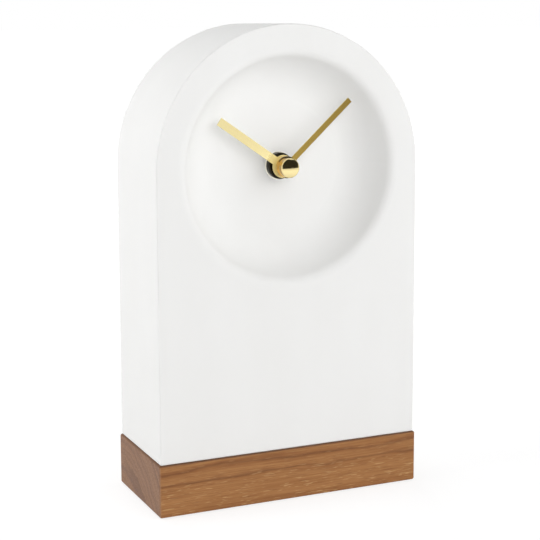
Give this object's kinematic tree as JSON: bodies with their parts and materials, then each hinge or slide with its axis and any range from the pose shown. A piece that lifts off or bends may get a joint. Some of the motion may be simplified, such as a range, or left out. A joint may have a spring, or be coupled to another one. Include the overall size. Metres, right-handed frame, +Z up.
{
  "type": "desk clock",
  "caption": "Arched desk clock: matt white case on a wooden plinth, dished dial with plain brass hands, and a quartz movement in a rear pocket.",
  "frame": {"origin": "on the table, below the middle of the plinth", "axes": "+X to the right across the front, +Y to the back, +Z up; the dial faces -Y"},
  "size_m": [0.1192, 0.0514, 0.2003],
  "materials": {
    "white_lacquer": "matt white lacquer over fibreboard",
    "plinth_wood": "satin oiled",
    "dowel_wood": "bare",
    "foot_rubber": "matt",
    "gasket_rubber": "matt",
    "screw_steel": "zinc plated",
    "hour_brass": "brushed",
    "minute_brass": "brushed",
    "fitting_brass": "polished",
    "dark_plate": "nearly black plating, polished",
    "arbor_brass": "machined",
    "wheel_plastic": "moulded",
    "pin_steel": "ground",
    "spring_steel": "nickel plated",
    "magnet_iron": "sintered",
    "core_steel": "stamped",
    "bobbin_plastic": "moulded",
    "winding_copper": "enamelled copper wire",
    "board_laminate": "paper laminate",
    "chip_resin": "poured resin",
    "crystal_can": "plated",
    "housing_plastic": "moulded with a fine grain",
    "knob_plastic": "moulded",
    "battery_steel": "nickel plated",
    "battery_film": "printed film"
  },
  "bodies": {
    "case": {"arch_case": "white_lacquer", "plinth": "plinth_wood", "plinth_screws": "screw_steel", "plinth_dowels": "dowel_wood", "foot_front_left": "foot_rubber", "foot_front_right": "foot_rubber", "foot_back_left": "foot_rubber", "foot_back_right": "foot_rubber", "gasket": "gasket_rubber", "dial_washer": "fitting_brass", "collar_nut": "dark_plate", "dial_bush": "arbor_brass", "movement_housing": "housing_plastic", "movement_cover": "housing_plastic", "third_pin": "pin_steel", "intermediate_pin": "pin_steel", "rotor_pin": "pin_steel", "centre_pin": "pin_steel", "stator": "core_steel", "coil_core": "core_steel", "coil_bobbin": "bobbin_plastic", "coil_winding": "winding_copper", "circuit_board": "board_laminate", "quartz_crystal": "crystal_can", "clock_chip": "chip_resin", "positive_contact": "spring_steel", "negative_contact": "spring_steel"},
    "minute_hand": {"minute_hand": "minute_brass", "minute_boss": "minute_brass", "cap_nut": "fitting_brass", "minute_arbor": "arbor_brass", "clutch_spring": "spring_steel", "centre_wheel": "arbor_brass"},
    "hour_hand": {"hour_hand": "hour_brass", "hour_boss": "hour_brass", "hour_wheel": "wheel_plastic"},
    "motion_wheel": {"motion_wheel": "wheel_plastic", "setting_knob": "knob_plastic"},
    "third_wheel": {"third_wheel": "wheel_plastic"},
    "seconds_wheel": {"seconds_wheel": "wheel_plastic"},
    "intermediate_wheel": {"intermediate_wheel": "wheel_plastic"},
    "rotor": {"rotor_pinion": "wheel_plastic", "rotor_magnet": "magnet_iron"},
    "battery": {"battery_cell": "battery_steel", "battery_sleeve": "battery_film"}
  },
  "joints": [
    {"name": "minute_turn", "type": "hinge", "parent": "case", "child": "minute_hand", "pos_m": [0, 0, 0.1414], "axis": [0, 1, 0], "continuous": true},
    {"name": "hour_turn", "type": "hinge", "parent": "case", "child": "hour_hand", "pos_m": [0, 0, 0.1414], "axis": [0, 1, 0], "continuous": true},
    {"name": "motion_turn", "type": "hinge", "parent": "case", "child": "motion_wheel", "pos_m": [-0.01031, 0, 0.14735], "axis": [0, 1, 0], "continuous": true},
    {"name": "third_turn", "type": "hinge", "parent": "case", "child": "third_wheel", "pos_m": [0.00585, 0, 0.15153], "axis": [0, 1, 0], "continuous": true},
    {"name": "seconds_turn", "type": "hinge", "parent": "case", "child": "seconds_wheel", "pos_m": [0, 0, 0.1414], "axis": [0, 1, 0], "continuous": true},
    {"name": "intermediate_turn", "type": "hinge", "parent": "case", "child": "intermediate_wheel", "pos_m": [0.01173, 0, 0.13933], "axis": [0, 1, 0], "continuous": true},
    {"name": "rotor_turn", "type": "hinge", "parent": "case", "child": "rotor", "pos_m": [0.01878, 0, 0.14525], "axis": [0, 1, 0], "continuous": true},
    {"name": "battery_draw", "type": "slide", "parent": "case", "child": "battery", "axis": [0, 1, 0], "range_m": [0, 0.045]}
  ],
  "couplings": [
    {"joint": "hour_turn", "follows": "minute_turn", "ratio": 0.083333},
    {"joint": "motion_turn", "follows": "minute_turn", "ratio": -0.33333},
    {"joint": "third_turn", "follows": "minute_turn", "ratio": -8},
    {"joint": "seconds_turn", "follows": "minute_turn", "ratio": 60},
    {"joint": "intermediate_turn", "follows": "minute_turn", "ratio": -300},
    {"joint": "rotor_turn", "follows": "minute_turn", "ratio": 1800}
  ]
}
